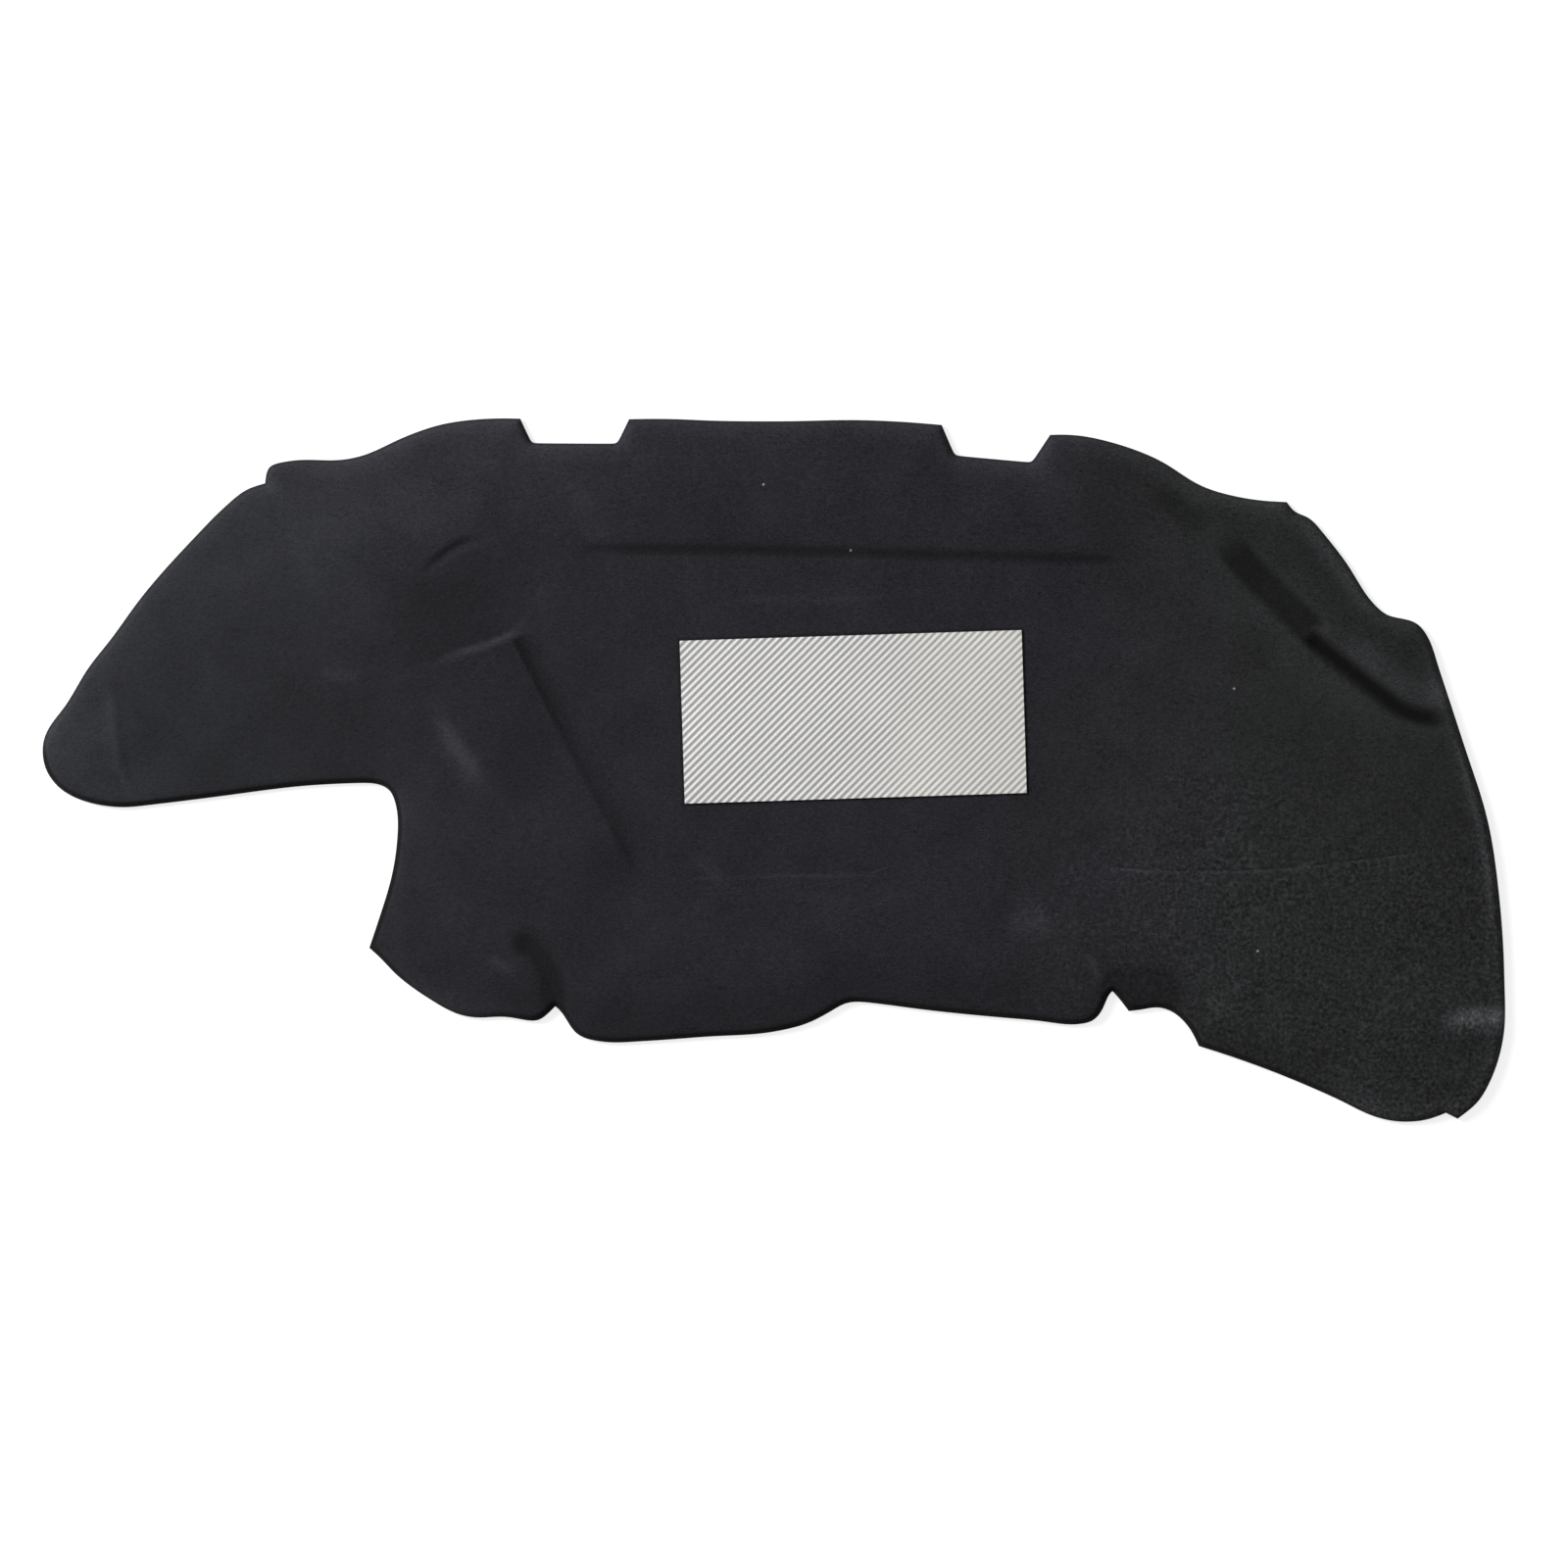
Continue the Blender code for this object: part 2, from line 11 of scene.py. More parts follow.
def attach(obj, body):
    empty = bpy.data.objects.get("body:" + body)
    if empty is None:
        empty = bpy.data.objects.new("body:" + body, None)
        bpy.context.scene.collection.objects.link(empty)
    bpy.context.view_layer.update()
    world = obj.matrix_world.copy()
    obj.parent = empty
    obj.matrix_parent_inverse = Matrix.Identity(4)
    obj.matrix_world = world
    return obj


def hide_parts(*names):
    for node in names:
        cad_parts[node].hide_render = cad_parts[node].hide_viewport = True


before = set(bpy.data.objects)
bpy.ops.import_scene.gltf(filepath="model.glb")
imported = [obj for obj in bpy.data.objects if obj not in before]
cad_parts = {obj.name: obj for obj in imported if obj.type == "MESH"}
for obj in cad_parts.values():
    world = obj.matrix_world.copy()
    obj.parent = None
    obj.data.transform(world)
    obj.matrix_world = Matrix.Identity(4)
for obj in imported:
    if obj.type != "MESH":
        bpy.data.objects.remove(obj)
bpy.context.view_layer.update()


# The felt pad. One sheet of needled black felt is pressed hot between two mould halves, which gives it
# its relief, and is then cut to its outline. It is stiff enough to keep that shape, so it is shaped here
# as the mould does it: a flat cut sheet gets its heights, and its underside follows at its thickness.
FELT_THICKNESS = 0.008
PRESSED_THICKNESS = 0.0035
RAISED_HEIGHT = 0.006
EDGE_ROLL = 0.006
RELIEF_FALL = 0.080
SURROUND_WIDTH = 0.110
PATH_STEP = 0.006
PANEL_CORNERS = [
    (-0.159, 0.190), (0.010, 0.1885), (0.310, 0.180), (0.240, -0.088),
    (-0.110, -0.097), (-0.171, 0.016), (-0.223, 0.118),
]

# Stretches of the panel's border where the felt rises at once: path, how far inside it the rise starts,
# its width, its curl (1 is steepest at the panel and -1 at the top), its share of the raised height, and
# the line and the width with which each end fades out.
RISES = [
    (PANEL_CORNERS[:3], 0.006, 0.017, 1, 0.90, ((-0.230, 0.310), 0.030), ((0.330, 0.300), 0.060)),
    (PANEL_CORNERS[3:5], 0.0, 0.025, 0, 0.35, ((0.260, -0.200), 0.080), ((-0.120, -0.200), 0.080)),
    (PANEL_CORNERS[4:], 0.018, 0.021, -1, 0.90, ((-0.200, -0.160), 0.055), ((-0.290, 0.0940), 0.006)),
]

# Broad swells: middle, half widths and height.
SWELLS = [
    ((-0.350, 0.130), (0.270, 0.150), 0.008),
    ((0.440, -0.050), (0.190, 0.210), 0.004),
    ((0.130, -0.140), (0.140, 0.070), 0.003),
    ((0.240, -0.146), (0.055, 0.040), 0.004),
    ((-0.291, -0.012), (0.024, 0.026), 0.0020),
    ((0.080, 0.245), (0.330, 0.060), 0.003),
]

# The shoulder is a swell that stops short at a line on its left, where it falls off.
SHOULDER = ((-0.245, 0.025), (0.065, 0.075), 0.006)
SHOULDER_LINE = ((-0.290, 0.048), (-0.250, -0.007))
SHOULDER_FALL = 0.015

# Grooves: path, half width, the share of it that is flat, height, fade in, fade out, and how hard pressed,
# which thins the felt and also sets the painted shade in the groove.
FIRST_TROUGH = [(0.318, 0.242), (0.348, 0.223), (0.377, 0.202)]
WIDE_TROUGH = [(0.383, 0.202), (0.403, 0.177), (0.428, 0.1515), (0.468, 0.113)]
DEEP_TROUGH = [
    (0.447, 0.1245), (0.467, 0.1065), (0.495, 0.0837), (0.520, 0.0644), (0.542, 0.0488),
    (0.560, 0.0435), (0.586, 0.043),
]
GROOVES = [
    ([(-0.166, 0.1895), (0.010, 0.187), (0.310, 0.1785)], 0.0065, 0.0, -0.0009, 0.015, 0.030, 0.40),
    ([(-0.218, 0.110), (-0.171, 0.017), (-0.110, -0.099)], 0.007, 0.0, -0.0002, 0.050, 0.020, 0.12),
    (FIRST_TROUGH, 0.014, 0.3, -0.003, 0.030, 0.015, 0.30),
    (WIDE_TROUGH, 0.0170, 0.45, -0.005, 0.030, 0.014, 0.70),
    (DEEP_TROUGH, 0.0118, 0.2, -0.009, 0.026, 0.028, 1.0),
    ([(-0.302, 0.165), (-0.283, 0.181), (-0.267, 0.192), (-0.240, 0.195)],
     0.0075, 0.0, -0.0022, 0.025, 0.025, 0.25),
    ([(-0.226, -0.148), (-0.204, -0.153), (-0.190, -0.170), (-0.186, -0.202)],
     0.015, 0.2, -0.005, 0.018, 0.0, 0.46),
    ([(0.300, -0.190), (0.318, -0.190), (0.331, -0.192)], 0.024, 0.6, -0.006, 0.0, 0.0, 0.35),
]

# Folds: path, half width, the share of it that is flat, height, fade in and fade out. Below zero, the
# felt sinks a little instead.
FOLDS = [
    (FIRST_TROUGH + WIDE_TROUGH[1:] + DEEP_TROUGH[2:], 0.032, 0.3, 0.002, 0.080, 0.0),
    ([(-0.158, 0.198), (-0.176, 0.176), (-0.190, 0.155), (-0.210, 0.124)], 0.008, 0.0, 0.0004, 0.020, 0.015),
    ([(-0.573, 0.105), (-0.565, 0.064), (-0.562, 0.022), (-0.552, -0.024)], 0.012, 0.0, 0.0017, 0.040, 0.045),
    ([(0.560, -0.223), (0.596, -0.220), (0.625, -0.218)], 0.018, 0.0, 0.003, 0.030, 0.0),
    ([(0.580, 0.040), (0.593, -0.013), (0.607, -0.071), (0.612, -0.105), (0.612, -0.142), (0.611, -0.185)],
     0.007, 0.0, 0.0015, 0.030, 0.020),
    ([(-0.165, -0.230), (-0.060, -0.230), (0.010, -0.224), (0.070, -0.200), (0.270, -0.216)],
     0.050, 0.0, -0.003, 0.020, 0.020),
]

# Lines and patches painted paler: a few are dust and rubbed fibres, most are painted highlights on ridges,
# folds, rims, the lit upper left and the left tip. Path, half width, share, fade in and fade out. A share
# below zero is painted shade in a soft hollow.
RUBBED_AND_HIGHLIGHTS = [
    ([(-0.290, 0.048), (-0.276, 0.029), (-0.262, 0.009), (-0.248, -0.010)], 0.011, 0.38, 0.012, 0.014),
    ([(-0.288, 0.036), (-0.272, 0.015), (-0.252, -0.010), (-0.238, -0.020)], 0.019, 0.26, 0.015, 0.020),
    ([(-0.246, -0.158), (-0.232, -0.166), (-0.217, -0.176)], 0.007, 0.40, 0.010, 0.008),
    ([(-0.287, 0.098), (-0.263, 0.1025), (-0.243, 0.108), (-0.223, 0.119), (-0.208, 0.130)],
     0.0045, 0.35, 0.030, 0.010),
    ([(0.572, -0.211), (0.600, -0.210), (0.626, -0.210)], 0.012, 1.7, 0.020, 0.0),
    ([(0.565, -0.216), (0.600, -0.216), (0.626, -0.217)], 0.016, 0.7, 0.020, 0.0),
    ([(-0.573, 0.082), (-0.565, 0.050), (-0.562, 0.022), (-0.556, -0.006), (-0.546, -0.022)],
     0.006, 0.20, 0.030, 0.010),
    ([(0.582, 0.030), (0.593, -0.013), (0.607, -0.071), (0.612, -0.105), (0.612, -0.142)],
     0.0050, 0.45, 0.020, 0.020),
    ([(0.4816, 0.1197), (0.511, 0.0946), (0.5436, 0.0703), (0.570, 0.0686)], 0.018, 0.45, 0.030, 0.0),
    ([(0.410, 0.170), (0.470, 0.105), (0.520, 0.064), (0.560, 0.045)], 0.050, 0.34, 0.030, 0.0),
    ([(0.452, 0.212), (0.488, 0.174), (0.518, 0.132)], 0.018, 0.50, 0.010, 0.010),
    ([(-0.400, 0.200), (-0.320, 0.240), (-0.210, 0.260)], 0.100, 0.25, 0.0, 0.0),
    ([(-0.600, 0.030), (-0.556, -0.006)], 0.070, 0.24, 0.0, 0.0),
    ([(-0.545, 0.046), (-0.538, 0.014)], 0.026, -0.11, 0.0, 0.0),
    ([(0.200, -0.121), (0.220, -0.130), (0.238, -0.128)], 0.020, 0.50, 0.010, 0.010),
    ([(0.263, -0.158), (0.272, -0.166), (0.279, -0.182)], 0.007, 0.55, 0.010, 0.005),
    ([(0.366, -0.190), (0.380, -0.200), (0.395, -0.208)], 0.012, 0.30, 0.010, 0.010),
    ([(-0.045, 0.1445), (0.010, 0.1465), (0.050, 0.145), (0.092, 0.147)], 0.005, 0.34, 0.030, 0.030),
    ([(-0.385, 0.081), (-0.352, 0.080)], 0.010, 0.34, 0.004, 0.004),
    ([(0.319, 0.114), (0.286, 0.060), (0.252, -0.003)], 0.012, 0.20, 0.030, 0.030),
]

# Hairlines that a fold in the imported sheet left: path, half width, height and how much painted highlight
# they get.
HAIRLINES = [
    ([(-0.075, -0.093), (0.010, -0.090), (0.097, -0.090)], 0.0024, -0.0005, 0.45),
    ([(0.273, -0.082), (0.302, -0.0847), (0.369, -0.0864), (0.428, -0.0847), (0.512, -0.0755),
      (0.554, -0.0705)], 0.0024, -0.0014, 0.45),
]
HAIRLINE_FADE = 0.020

# The stretch of the rear edge whose felt lies in shade: its middle, half length, start and soft ends.
REAR_MIDDLE = 0.125
REAR_HALF_LENGTH = 0.380
REAR_START = -0.100
REAR_BLEND = 0.045

# The patch's rectangle, because a line of painted shade runs around its foot, and lint.
PATCH_LENGTH = 0.292
PATCH_WIDTH = 0.139
PATCH_MIDDLE = (0.0681, 0.0455)
PATCH_TURN = math.radians(1.8)
LINT = [(-0.0085, 0.2437), (0.0660, 0.1876), (0.3928, 0.0695), (0.4129, -0.1542)]

# The felt is never quite even: soft waves and small dents, of these sizes and heights, of which the flat
# panel has only a share.
UNEVENNESS = [(0.070, 0.0006), (0.024, 0.00030), (0.009, 0.00010)]
PANEL_UNEVENNESS = 0.25


def smooth_path(path):
    """A path's points on its smooth curve, a step apart."""
    knots = [Vector(point) for point in path]
    spans = [(b - a).length for a, b in zip(knots, knots[1:])]
    slopes = [(b - a) / span for a, b, span in zip(knots, knots[1:], spans)]
    inner = [
        (before * after_span + after * before_span) / (before_span + after_span)
        for before, after, before_span, after_span in zip(slopes, slopes[1:], spans, spans[1:])
    ]
    tangents = [2 * slopes[0] - inner[0], *inner, 2 * slopes[-1] - inner[-1]]
    curve = []
    for i, span in enumerate(spans):
        handles = knots[i] + tangents[i] * span / 3, knots[i + 1] - tangents[i + 1] * span / 3
        count = max(1, round(span / PATH_STEP)) + 1
        curve += geometry.interpolate_bezier(knots[i], *handles, knots[i + 1], count)[:-1]
    return np.array([point.to_tuple() for point in [*curve, knots[-1]]])


def smooth_step(amount):
    """Zero below 0, one above 1, and a smooth rise between."""
    amount = np.clip(amount, 0.0, 1.0)
    return amount * amount * (3 - 2 * amount)


def path_distance(spots, path):
    """How far each spot is from a path, and how far along the path its nearest point is."""
    best = np.full(len(spots), np.inf)
    along = np.zeros(len(spots))
    walked = 0.0
    for start, end in zip(path, path[1:]):
        span = end - start
        length = math.hypot(*span)
        share = np.clip((spots - start) @ span / length**2, 0.0, 1.0)
        away = np.hypot(*(spots - start - share[:, None] * span).T)
        nearer = away < best
        best[nearer] = away[nearer]
        along[nearer] = walked + share[nearer] * length
        walked += length
    return best, along


def is_inside(spots, outline):
    """Whether each spot is inside the closed outline."""
    inside = np.zeros(len(spots), bool)
    for a, b in zip(outline, np.roll(outline, -1, axis=0)):
        spans = (a[1] > spots[:, 1]) != (b[1] > spots[:, 1])
        crossing = a[0] + (spots[:, 1] - a[1]) / np.where(spans, b[1] - a[1], 1.0) * (b[0] - a[0])
        inside ^= spans & (spots[:, 0] < crossing)
    return inside


def rise_share(spots, path, inset, width, curl, share, first_end, last_end):
    """How much of the raised height each spot gets from a rise at the panel's border."""
    outward = np.full(len(spots), -np.inf)
    for start, end in zip(path, path[1:]):
        along = np.subtract(end, start)
        normal = np.array((-along[1], along[0])) / math.hypot(*along)
        outward = np.maximum(outward, (spots - start) @ normal)
    reach = np.clip((outward + inset) / width, 0.0, 1.0)
    left = share * (reach + curl * reach * (1 - reach) if curl else smooth_step(reach))
    for corner, inner, (towards, fade) in ((path[0], path[1], first_end), (path[-1], path[-2], last_end)):
        along = np.subtract(towards, corner)
        across = np.array((-along[1], along[0])) / math.hypot(*along)
        across *= math.copysign(1.0, across @ np.subtract(inner, corner))
        left = left * smooth_step((spots - corner) @ across / fade)
    return left


def crease_strength(spots, path, half_width, flat, fade_in, fade_out):
    """How much of a crease's height each spot gets: all on its path, and none at its half width."""
    away, along = path_distance(spots, path)
    strength = 1 - smooth_step((away / half_width - flat) / (1 - flat))
    length = np.hypot(*np.diff(path, axis=0).T).sum()
    if fade_in:
        strength *= smooth_step(along / fade_in)
    if fade_out:
        strength *= smooth_step((length - along) / fade_out)
    return strength


def felt_heights(spots, rim):
    """At each spot, the felt's upper and lower surface, how hard it is pressed, which also sets its painted
    shade, how much paler it is painted for dust, rubbed fibres and painted highlights, how far the cut edge
    is, and how much it belongs to the rear."""
    corners = np.array(PANEL_CORNERS)
    from_panel = path_distance(spots, np.vstack([corners, corners[:1]]))[0]
    from_panel[is_inside(spots, corners)] = 0.0
    level = 1 - smooth_step(from_panel / SURROUND_WIDTH)
    for rise in RISES:
        level *= 1 - rise_share(spots, *rise)
    raised = 1 - level
    top = RAISED_HEIGHT * raised
    for middle, half_widths, height in SWELLS:
        reach = np.hypot(*((spots - middle) / half_widths).T)
        top += raised * height * (1 - np.clip(reach, 0.0, 1.0) ** 2) ** 2
    middle, half_widths, height = SHOULDER
    first, last = np.array(SHOULDER_LINE)
    across = np.cross(last - first, spots - first) / math.hypot(*(last - first))
    reach = np.hypot(*((spots - middle) / half_widths).T)
    swell = (1 - np.clip(reach, 0.0, 1.0) ** 2) ** 2
    top += raised * height * swell * smooth_step(0.5 + across / SHOULDER_FALL)
    for path, half_width, flat, height, fade_in, fade_out in FOLDS:
        top += height * crease_strength(spots, smooth_path(path), half_width, flat, fade_in, fade_out)
    sunk = np.zeros(len(spots))
    pinch = np.zeros(len(spots))
    for path, half_width, flat, height, fade_in, fade_out, hardness in GROOVES:
        strength = crease_strength(spots, smooth_path(path), half_width, flat, fade_in, fade_out)
        sunk = np.minimum(sunk, height * strength)
        pinch = np.maximum(pinch, hardness * strength)
    top += sunk
    rubbed_and_highlight = np.zeros(len(spots))
    for path, half_width, height, share in HAIRLINES:
        line = crease_strength(spots, smooth_path(path), half_width, 0.0, HAIRLINE_FADE, HAIRLINE_FADE)
        top += height * line
        rubbed_and_highlight += share * line
    for path, half_width, share, fade_in, fade_out in RUBBED_AND_HIGHLIGHTS:
        curve = smooth_path(path) if len(path) > 2 else np.array(path)
        rubbed_and_highlight += share * crease_strength(spots, curve, half_width, 0.0, fade_in, fade_out)
    open_share = smooth_step(from_panel / SURROUND_WIDTH) * (1 - PANEL_UNEVENNESS) + PANEL_UNEVENNESS
    for size, height in UNEVENNESS:
        waves = [noise.noise(Vector((x / size, y / size, size))) for x, y in spots]
        top += height * np.array(waves) * open_share
    from_edge = path_distance(spots, rim)[0]
    edge = np.sin(np.clip(from_edge / EDGE_ROLL, 0.0, 1.0) * math.pi / 2)
    fall = 1 - (1 - np.clip(from_edge / RELIEF_FALL, 0.0, 1.0)) ** 2
    top = PRESSED_THICKNESS + np.maximum(top * fall + FELT_THICKNESS - PRESSED_THICKNESS, 0.0) * edge
    thickness = PRESSED_THICKNESS + (FELT_THICKNESS - PRESSED_THICKNESS) * edge * (1 - pinch)
    at_rear = smooth_step((REAR_START - spots[:, 1]) / REAR_BLEND)
    at_rear *= smooth_step((REAR_HALF_LENGTH - np.abs(spots[:, 0] - REAR_MIDDLE)) / REAR_BLEND)
    return top, np.maximum(top - thickness, 0.0), pinch, rubbed_and_highlight, from_edge, at_rear


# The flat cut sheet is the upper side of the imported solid, laid flat. Its outline is rounded, but a corner
# that turns by more than this stays sharp.
CORNER_TURN = math.radians(47)
SAME_PLACE = 1e-5
LEAST_UPWARD = 0.1
cut = bmesh.new()
cut.from_mesh(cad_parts["felt_pad"].data)
bmesh.ops.remove_doubles(cut, verts=cut.verts, dist=SAME_PLACE)
hidden = [face for face in cut.faces if face.normal.z < LEAST_UPWARD]
bmesh.ops.delete(cut, geom=hidden, context="FACES")
for vert in cut.verts:
    vert.co.z = 0.0
cut.verts.index_update()
felt_mesh = bpy.data.meshes.new("moulded_felt")
felt_mesh.from_pydata(
    [vert.co.to_tuple() for vert in cut.verts],
    [],
    [[vert.index for vert in face.verts] for face in cut.faces],
)
sharp_corners = []
for vert in cut.verts:
    ends = [edge.other_vert(vert).co for edge in vert.link_edges if edge.is_boundary]
    if len(ends) == 2 and (vert.co - ends[0]).angle(ends[1] - vert.co) > CORNER_TURN:
        sharp_corners.append(vert.index)
cut.free()
felt_mesh.vertex_creases_ensure()
for index in sharp_corners:
    felt_mesh.vertex_creases.data[index].value = 1.0
felt_pad = bpy.data.objects.new("moulded_felt", felt_mesh)
bpy.context.scene.collection.objects.link(felt_pad)
bpy.ops.object.select_all(action="DESELECT")
felt_pad.select_set(True)
bpy.context.view_layer.objects.active = felt_pad
rounding = felt_pad.modifiers.new("rounding", "SUBSURF")
rounding.levels = rounding.render_levels = 2
bpy.ops.object.modifier_apply(modifier="rounding")

# The sheet has finer faces along grooves and along lines of rubbed fibres and painted highlights that are
# narrower than this, and the finest along the hairlines, both out to a margin beside the line.
NARROW = 0.0095
NEAR_MARGIN = 0.003
NARROW_CUTS = 1
HAIRLINE_CUTS = 4
narrow = [line for line in GROOVES + RUBBED_AND_HIGHLIGHTS if line[1] < NARROW and len(line[0]) > 2]
bpy.ops.object.mode_set(mode="EDIT")
for lines, cuts in ((narrow, NARROW_CUTS), (HAIRLINES, HAIRLINE_CUTS)):
    sheet = bmesh.from_edit_mesh(felt_mesh)
    middles = np.array([face.calc_center_median().to_tuple()[:2] for face in sheet.faces])
    near = np.zeros(len(middles), bool)
    for path, half_width, *_ in lines:
        near |= path_distance(middles, smooth_path(path))[0] < half_width + NEAR_MARGIN
    for face, chosen in zip(sheet.faces, near):
        face.select_set(bool(chosen))
    bmesh.update_edit_mesh(felt_mesh)
    bpy.ops.mesh.subdivide(number_cuts=cuts)

# A second side is extruded, the rim between the two is walked round, and both sides get their heights.
MARKS = ("pressed_and_shade", "rubbed_and_highlight", "from_edge", "at_rear")
bpy.ops.mesh.select_all(action="SELECT")
bpy.ops.mesh.extrude_region_move()
sheet = bmesh.from_edit_mesh(felt_mesh)
lower = np.array([vert.select for vert in sheet.verts])
places = np.array([vert.co.to_tuple()[:2] for vert in sheet.verts])
walls = [face for face in sheet.faces if len({vert.select for vert in face.verts}) == 2]
rim_edges = [edge for face in walls for edge in face.edges if edge.verts[0].select and edge.verts[1].select]
following = {}
for edge in rim_edges:
    for vert, other in (edge.verts, reversed(edge.verts)):
        following.setdefault(vert, []).append(other)
loop = [rim_edges[0].verts[0], rim_edges[0].verts[1]]
while loop[-1] is not loop[0]:
    loop.append(next(vert for vert in following[loop[-1]] if vert is not loop[-2]))
rim = np.array([vert.co.to_tuple()[:2] for vert in loop])
top, bottom, *marks = felt_heights(places, rim)
for vert, height in zip(sheet.verts, np.where(lower, bottom, top)):
    vert.co.z = height
for face in sheet.faces:
    face.select_set(True)
bmesh.update_edit_mesh(felt_mesh)
bpy.ops.mesh.normals_make_consistent(inside=False)
bpy.ops.object.mode_set(mode="OBJECT")
for name, amounts in zip(MARKS, marks):
    attribute = felt_mesh.attributes.new(name, "FLOAT", "POINT")
    attribute.data.foreach_set("value", amounts.astype(np.float32))
bpy.ops.object.shade_smooth()


class Link:
    """A node's output. Arithmetic on it adds Math nodes, and node() adds any other node."""

    def __init__(self, socket):
        self.socket = socket

    def node(self, kind, settings, inputs, output=0):
        """A new node's output. Its settings are set first, then its inputs, by name or by number."""
        added = self.socket.id_data.nodes.new(kind)
        for name, value in settings.items():
            setattr(added, name, value)
        for name, value in inputs.items():
            if isinstance(value, Link):
                self.socket.id_data.links.new(value.socket, added.inputs[name])
            else:
                added.inputs[name].default_value = value
        return Link(added.outputs[output])

    def math(self, operation, first, second=0.0):
        return self.node("ShaderNodeMath", {"operation": operation}, {0: first, 1: second})

    def vector(self, operation, other=(0.0, 0.0, 0.0), output=0):
        return self.node("ShaderNodeVectorMath", {"operation": operation}, {0: self, 1: other}, output)

    def turned(self, angle, centre=(0.0, 0.0, 0.0)):
        """These places, turned about an upright axis through the centre."""
        inputs = {"Vector": self, "Center": centre, "Angle": angle}
        return self.node("ShaderNodeVectorRotate", {"rotation_type": "Z_AXIS"}, inputs)

    def along_x_and_y(self):
        """These places' X and their Y."""
        parts = self.node("ShaderNodeSeparateXYZ", {}, {0: self})
        return parts, Link(parts.socket.node.outputs[1])

    def __add__(self, other):
        return self.math("ADD", self, other)

    def __sub__(self, other):
        return self.math("SUBTRACT", self, other)

    def __rsub__(self, other):
        return self.math("SUBTRACT", other, self)

    def __mul__(self, other):
        return self.math("MULTIPLY", self, other)

    __radd__ = __add__
    __rmul__ = __mul__

    def ramp(self, low, high):
        """Zero below low, one above high, and a smooth rise between."""
        smooth = {"interpolation_type": "SMOOTHSTEP"}
        return self.node("ShaderNodeMapRange", smooth, {0: self, 1: low, 2: high})

    def noise(self, scale, detail=2.0, roughness=0.5, stretch=(1.0, 1.0, 1.0)):
        """Noise from this vector, about zero to one, with a feature size in metres."""
        places = self.vector("MULTIPLY", tuple(part / scale for part in stretch))
        inputs = {"Vector": places, "Scale": 1.0, "Detail": detail, "Roughness": roughness}
        return self.node("ShaderNodeTexNoise", {}, inputs)

    def mixed(self, other, factor):
        """This colour mixed with another by a factor."""
        return self.node("ShaderNodeMix", {"data_type": "RGBA"}, {0: factor, 6: self, 7: other}, 2)

    def scaled(self, factor):
        """This colour made brighter or darker by a factor."""
        return self.node("ShaderNodeVectorMath", {"operation": "SCALE"}, {0: self, 3: factor})


def new_material(name):
    """A material with a Principled shader, that shader, and a link to the object's coordinates."""
    material = bpy.data.materials.new(name)
    material.use_nodes = True
    shader = material.node_tree.nodes["Principled BSDF"]
    coordinates = material.node_tree.nodes.new("ShaderNodeTexCoord")
    return material, shader, Link(coordinates.outputs["Object"])


# The felt's fibres lie in four directions. Its grain is coarser and pebbled towards the right rear, and its
# black leans to blue on the left, to violet in the middle and to neutral on the right. The blue on the left
# is also a little lighter, painted light from the lamp's side.
FELT_COOL_AND_LIT = (0.0215, 0.0222, 0.0262, 1.0)
FELT_VIOLET = (0.0200, 0.0195, 0.0250, 1.0)
FELT_NEUTRAL = (0.0196, 0.0204, 0.0212, 1.0)
FIBRE_LAYERS = [(0.0, 0.0016), (0.45, 0.0012), (-0.40, 0.0013), (1.30, 0.0011)]
FIBRE_STRETCH = (0.28, 1.0, 1.0)
GRAIN_SIZE = 0.0013
PEBBLE_SIZE = 0.0032
TUFT_SIZE = 0.012
BLOTCH_SIZE = 0.045
CAST_SIZE = 0.160
FIBRE_CONTRAST = 3.8
GRAIN_CONTRAST = 1.8
PEBBLE_CONTRAST = 2.2
BLOTCH_CONTRAST = 0.7
PEBBLED_ALONG_X = (0.10, 0.42)
PEBBLED_ALONG_Y = (0.08, -0.10)
FIBROUS_ALONG_X = (-0.55, 0.30)
felt, felt_shader, spot = new_material("needled_felt")
x_place, y_place = spot.along_x_and_y()
blotches = spot.noise(BLOTCH_SIZE, 3.0, 0.6)
cast = spot.noise(CAST_SIZE, 1.0, 0.5)
fibres = 0.0
for turn, thickness in FIBRE_LAYERS:
    fibres = fibres + spot.turned(turn).noise(thickness, 2.0, 0.6, FIBRE_STRETCH)
fibres = fibres * (1 / len(FIBRE_LAYERS))
grain = spot.noise(GRAIN_SIZE, 2.0, 0.6)
pebbles = spot.noise(PEBBLE_SIZE, 1.0, 0.4)
tufts = spot.noise(TUFT_SIZE, 2.0, 0.6)
right_end = (x_place + 0.30 * (blotches - 0.5)).ramp(*PEBBLED_ALONG_X)
right_end = right_end * (y_place + 0.20 * (cast - 0.5)).ramp(*PEBBLED_ALONG_Y)
density = (0.45 + 0.7 * tufts) * (0.75 + 0.55 * x_place.ramp(*FIBROUS_ALONG_X))
tone = 1.0 + (FIBRE_CONTRAST * (fibres - 0.5) + GRAIN_CONTRAST * (grain - 0.5)) * density
tone = tone + BLOTCH_CONTRAST * (blotches - 0.5)
# The pebbled grain is the felt's own, and its bright tips are painted glints off looped fibres.
skin = PEBBLE_CONTRAST * (pebbles - 0.5) + 0.4 * pebbles.ramp(0.50, 0.76)
tone = tone + right_end * (skin * (0.4 + 1.2 * tufts) + 0.12)
